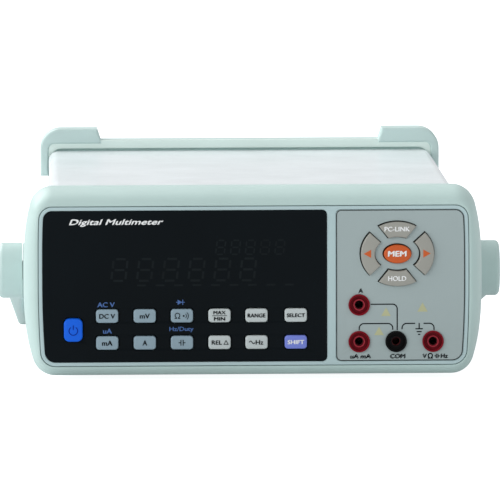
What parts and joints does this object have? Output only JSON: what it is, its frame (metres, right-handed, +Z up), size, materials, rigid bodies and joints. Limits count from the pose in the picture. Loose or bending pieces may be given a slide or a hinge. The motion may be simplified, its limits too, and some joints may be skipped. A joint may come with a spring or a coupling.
{
  "type": "bench multimeter",
  "caption": "Bench multimeter with a wide display window, function keys, navigation keys, test jacks, rear mains inlet and a swinging carry handle.",
  "frame": {"origin": "on the table under the middle of the instrument's box", "axes": "+X right, +Y from the front panel to the back, +Z up"},
  "size_m": [0.2622, 0.2777, 0.1108],
  "materials": {
    "mint_plastic": "satin moulded, fine texture",
    "cover_plastic": "satin moulded",
    "panel_plastic": "satin moulded",
    "smoked_window": "polished smoked acrylic",
    "label_silver": "satin printed film",
    "rear_grey": "powder coated",
    "foot_rubber": "matte",
    "zinc_steel": "zinc plated",
    "jack_red": "polished moulded",
    "jack_black": "polished moulded",
    "contact_brass": "plain",
    "board_green": "solder mask",
    "tube_glass": "dark display glass",
    "silicone": "matte",
    "black_plastic": "satin moulded",
    "core_steel": "varnished laminations",
    "coil_tape": "wound tape",
    "capacitor_sleeve": "shrink sleeve",
    "bare_aluminium": "extruded",
    "white_plastic": "satin moulded",
    "selector_red": "moulded",
    "ribbon_grey": "satin",
    "power_blue": "polished moulded",
    "key_blue_grey": "satin silicone",
    "key_light_grey": "satin silicone",
    "shift_blue": "satin silicone",
    "nav_grey": "satin silicone",
    "mem_orange": "satin silicone"
  },
  "bodies": {
    "case": {"front_bezel": "mint_plastic", "front_panel": "panel_plastic", "display_window": "smoked_window", "terminal_overlay": "label_silver", "top_cover": "cover_plastic", "bottom_cover": "cover_plastic", "rear_frame": "mint_plastic", "rear_panel": "rear_grey", "rubber_feet": "foot_rubber", "case_screws": "zinc_steel", "red_jacks": "jack_red", "com_jack": "jack_black", "jack_contacts": "contact_brass", "jack_nuts": "zinc_steel", "main_board": "board_green", "display_board": "board_green", "display_tube": "tube_glass", "key_mat": "silicone", "key_switches": "black_plastic", "transformer_core": "core_steel", "transformer_coil": "coil_tape", "capacitors": "capacitor_sleeve", "heat_sink": "bare_aluminium", "input_fuses": "white_plastic", "fuse_clips": "contact_brass", "mains_inlet": "black_plastic", "inlet_pins": "zinc_steel", "voltage_selector": "selector_red", "serial_connector": "zinc_steel", "mains_switch": "black_plastic", "ribbon_cable": "ribbon_grey", "board_standoffs": "contact_brass", "handle_bosses": "mint_plastic", "pivot_pins": "zinc_steel"},
    "handle": {"handle_arm_left": "mint_plastic", "handle_arm_right": "mint_plastic", "handle_grip": "mint_plastic", "hub_caps": "mint_plastic"},
    "power_switch": {"power_button": "power_blue", "switch_pushrod": "white_plastic"},
    "key_dc_v_body": {"key_dc_v": "key_blue_grey"},
    "key_mv_body": {"key_mv": "key_blue_grey"},
    "key_ohm_body": {"key_ohm": "key_blue_grey"},
    "key_max_min_body": {"key_max_min": "key_light_grey"},
    "key_range_body": {"key_range": "key_light_grey"},
    "key_select_body": {"key_select": "key_light_grey"},
    "key_ma_body": {"key_ma": "key_blue_grey"},
    "key_a_body": {"key_a": "key_blue_grey"},
    "key_cap_body": {"key_cap": "key_blue_grey"},
    "key_rel_body": {"key_rel": "key_light_grey"},
    "key_hz_body": {"key_hz": "key_light_grey"},
    "key_shift_body": {"key_shift": "shift_blue"},
    "nav_up_body": {"nav_up": "nav_grey"},
    "nav_down_body": {"nav_down": "nav_grey"},
    "nav_left_body": {"nav_left": "nav_grey"},
    "nav_right_body": {"nav_right": "nav_grey"},
    "nav_mem_body": {"nav_mem": "mem_orange"},
    "fuse_tray": {"fuse_drawer": "black_plastic"},
    "selector": {"selector_slider": "white_plastic"}
  },
  "joints": [
    {"name": "handle_swing", "type": "hinge", "parent": "case", "child": "handle", "pos_m": [0, -0.05554, 0.0497], "axis": [1, 0, 0], "range_deg": [-110, 200]},
    {"name": "power_press", "type": "slide", "parent": "case", "child": "power_switch", "axis": [0, 1, 0], "range_m": [0, 0.0024], "stiffness_N_per_m": 300},
    {"name": "key_dc_v_press", "type": "slide", "parent": "case", "child": "key_dc_v_body", "axis": [0, 1, 0], "range_m": [0, 0.0012], "stiffness_N_per_m": 300},
    {"name": "key_mv_press", "type": "slide", "parent": "case", "child": "key_mv_body", "axis": [0, 1, 0], "range_m": [0, 0.0012], "stiffness_N_per_m": 300},
    {"name": "key_ohm_press", "type": "slide", "parent": "case", "child": "key_ohm_body", "axis": [0, 1, 0], "range_m": [0, 0.0012], "stiffness_N_per_m": 300},
    {"name": "key_max_min_press", "type": "slide", "parent": "case", "child": "key_max_min_body", "axis": [0, 1, 0], "range_m": [0, 0.0012], "stiffness_N_per_m": 300},
    {"name": "key_range_press", "type": "slide", "parent": "case", "child": "key_range_body", "axis": [0, 1, 0], "range_m": [0, 0.0012], "stiffness_N_per_m": 300},
    {"name": "key_select_press", "type": "slide", "parent": "case", "child": "key_select_body", "axis": [0, 1, 0], "range_m": [0, 0.0012], "stiffness_N_per_m": 300},
    {"name": "key_ma_press", "type": "slide", "parent": "case", "child": "key_ma_body", "axis": [0, 1, 0], "range_m": [0, 0.0012], "stiffness_N_per_m": 300},
    {"name": "key_a_press", "type": "slide", "parent": "case", "child": "key_a_body", "axis": [0, 1, 0], "range_m": [0, 0.0012], "stiffness_N_per_m": 300},
    {"name": "key_cap_press", "type": "slide", "parent": "case", "child": "key_cap_body", "axis": [0, 1, 0], "range_m": [0, 0.0012], "stiffness_N_per_m": 300},
    {"name": "key_rel_press", "type": "slide", "parent": "case", "child": "key_rel_body", "axis": [0, 1, 0], "range_m": [0, 0.0012], "stiffness_N_per_m": 300},
    {"name": "key_hz_press", "type": "slide", "parent": "case", "child": "key_hz_body", "axis": [0, 1, 0], "range_m": [0, 0.0012], "stiffness_N_per_m": 300},
    {"name": "key_shift_press", "type": "slide", "parent": "case", "child": "key_shift_body", "axis": [0, 1, 0], "range_m": [0, 0.0012], "stiffness_N_per_m": 300},
    {"name": "nav_up_press", "type": "slide", "parent": "case", "child": "nav_up_body", "axis": [0, 1, 0], "range_m": [0, 0.0012], "stiffness_N_per_m": 300},
    {"name": "nav_down_press", "type": "slide", "parent": "case", "child": "nav_down_body", "axis": [0, 1, 0], "range_m": [0, 0.0012], "stiffness_N_per_m": 300},
    {"name": "nav_left_press", "type": "slide", "parent": "case", "child": "nav_left_body", "axis": [0, 1, 0], "range_m": [0, 0.0012], "stiffness_N_per_m": 300},
    {"name": "nav_right_press", "type": "slide", "parent": "case", "child": "nav_right_body", "axis": [0, 1, 0], "range_m": [0, 0.0012], "stiffness_N_per_m": 300},
    {"name": "nav_mem_press", "type": "slide", "parent": "case", "child": "nav_mem_body", "axis": [0, 1, 0], "range_m": [0, 0.0012], "stiffness_N_per_m": 300},
    {"name": "fuse_tray_slide", "type": "slide", "parent": "case", "child": "fuse_tray", "axis": [0, 1, 0], "range_m": [0, 0.018]},
    {"name": "selector_slide", "type": "slide", "parent": "case", "child": "selector", "axis": [1, 0, 0], "range_m": [0, 0.0074]}
  ]
}
